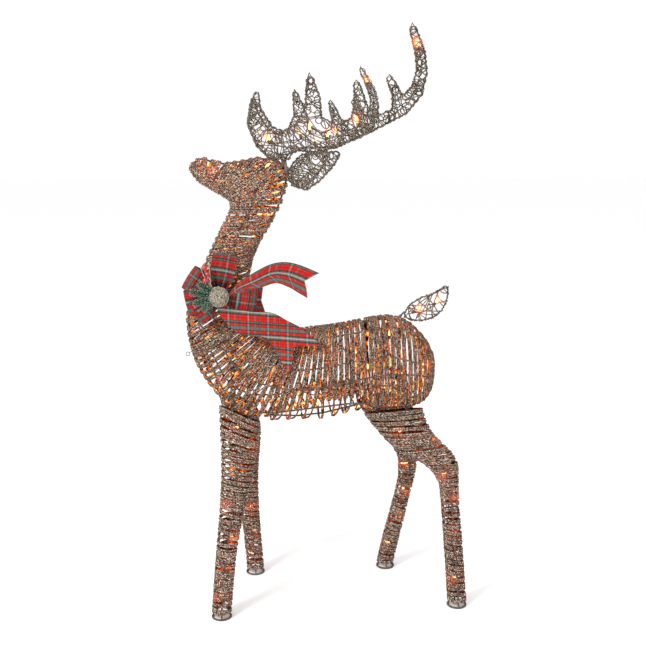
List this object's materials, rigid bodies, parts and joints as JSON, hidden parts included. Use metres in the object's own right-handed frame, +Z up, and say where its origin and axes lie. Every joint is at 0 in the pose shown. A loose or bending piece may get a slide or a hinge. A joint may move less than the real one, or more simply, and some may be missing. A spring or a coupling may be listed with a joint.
{
  "type": "lighted yard reindeer",
  "caption": "Standing reindeer of twine-wrapped wire frames with inner lamps; head, antlers, tail and legs lift off on pegs; tartan bow with sprig at the neck.",
  "frame": {"origin": "on the ground, under the middle of the overall box, antlers included; the deer centre plane is at x = 0.031 m", "axes": "+Z up, -Y the way the deer faces, +X its left side"},
  "size_m": [0.6808, 0.7543, 1.5134],
  "materials": {
    "rattan_twine": "twisted rattan-look twine, grey-brown with a thin whitewash and fine glitter",
    "vine": "thin dark twig vine with a patchy whitewash",
    "frame_wire": "dark brown powder-coated steel wire",
    "socket_steel": "dark brown powder-coated steel tube",
    "lead_plastic": "brown insulated twin lead and lamp holders",
    "lamp_glow": "clear mini lamp, lit warm white",
    "tartan_ribbon": "woven tartan ribbon in red, dark green, grey and cream with wired edges",
    "ribbon_tie": "dark tie wire",
    "pine_green": "dark green pine needles with pale frosted tips",
    "berry_red": "glossy crimson berries",
    "twig": "pale woven vine ball"
  },
  "bodies": {
    "torso": {"body_frame": "frame_wire", "body_wrap": "rattan_twine", "leg_sockets": "socket_steel", "neck_sockets": "socket_steel", "tail_socket": "socket_steel", "body_light_string": "lead_plastic", "body_lamps": "lamp_glow", "neck_clip": "frame_wire"},
    "head": {"neck_frame": "frame_wire", "neck_wrap": "rattan_twine", "head_frame": "frame_wire", "head_wrap": "rattan_twine", "antler_sockets": "socket_steel", "left_ear_frame": "frame_wire", "left_ear_vine": "vine", "right_ear_frame": "frame_wire", "right_ear_vine": "vine", "head_light_string": "lead_plastic", "head_lamps": "lamp_glow", "bow_loops": "tartan_ribbon", "bow_tails": "tartan_ribbon", "bow_tie": "ribbon_tie", "pine_sprig": "pine_green", "bow_berries": "berry_red", "twig_ball": "twig"},
    "left_antler": {"left_antler_frame": "frame_wire", "left_antler_vine": "vine", "left_antler_light_string": "lead_plastic", "left_antler_lamps": "lamp_glow"},
    "right_antler": {"right_antler_frame": "frame_wire", "right_antler_vine": "vine", "right_antler_light_string": "lead_plastic", "right_antler_lamps": "lamp_glow"},
    "tail": {"tail_frame": "frame_wire", "tail_vine": "vine", "tail_light_string": "lead_plastic", "tail_lamps": "lamp_glow"},
    "left_fore_leg": {"left_fore_leg_frame": "frame_wire", "left_fore_leg_wrap": "rattan_twine", "left_fore_leg_light_string": "lead_plastic", "left_fore_leg_lamps": "lamp_glow"},
    "right_fore_leg": {"right_fore_leg_frame": "frame_wire", "right_fore_leg_wrap": "rattan_twine", "right_fore_leg_light_string": "lead_plastic", "right_fore_leg_lamps": "lamp_glow"},
    "left_hind_leg": {"left_hind_leg_frame": "frame_wire", "left_hind_leg_wrap": "rattan_twine", "left_hind_leg_light_string": "lead_plastic", "left_hind_leg_lamps": "lamp_glow"},
    "right_hind_leg": {"right_hind_leg_frame": "frame_wire", "right_hind_leg_wrap": "rattan_twine", "right_hind_leg_light_string": "lead_plastic", "right_hind_leg_lamps": "lamp_glow"}
  },
  "joints": [
    {"name": "head_lift_off", "type": "slide", "parent": "torso", "child": "head", "axis": [0, -0.5503, 0.835], "range_m": [0, 0.12]},
    {"name": "left_antler_lift_off", "type": "slide", "parent": "head", "child": "left_antler", "axis": [0.4465, -0.1451, 0.8829], "range_m": [0, 0.06]},
    {"name": "right_antler_lift_off", "type": "slide", "parent": "head", "child": "right_antler", "axis": [-0.5144, -0.1551, 0.8434], "range_m": [0, 0.06]},
    {"name": "tail_pull_off", "type": "slide", "parent": "torso", "child": "tail", "axis": [0, 0.6947, 0.7193], "range_m": [0, 0.05]},
    {"name": "left_fore_leg_pull_off", "type": "slide", "parent": "torso", "child": "left_fore_leg", "axis": [0, 0, -1], "range_m": [0, 0.09]},
    {"name": "right_fore_leg_pull_off", "type": "slide", "parent": "torso", "child": "right_fore_leg", "axis": [0, 0, -1], "range_m": [0, 0.09]},
    {"name": "left_hind_leg_pull_off", "type": "slide", "parent": "torso", "child": "left_hind_leg", "axis": [0, 0, -1], "range_m": [0, 0.09]},
    {"name": "right_hind_leg_pull_off", "type": "slide", "parent": "torso", "child": "right_hind_leg", "axis": [0, 0, -1], "range_m": [0, 0.09]}
  ]
}
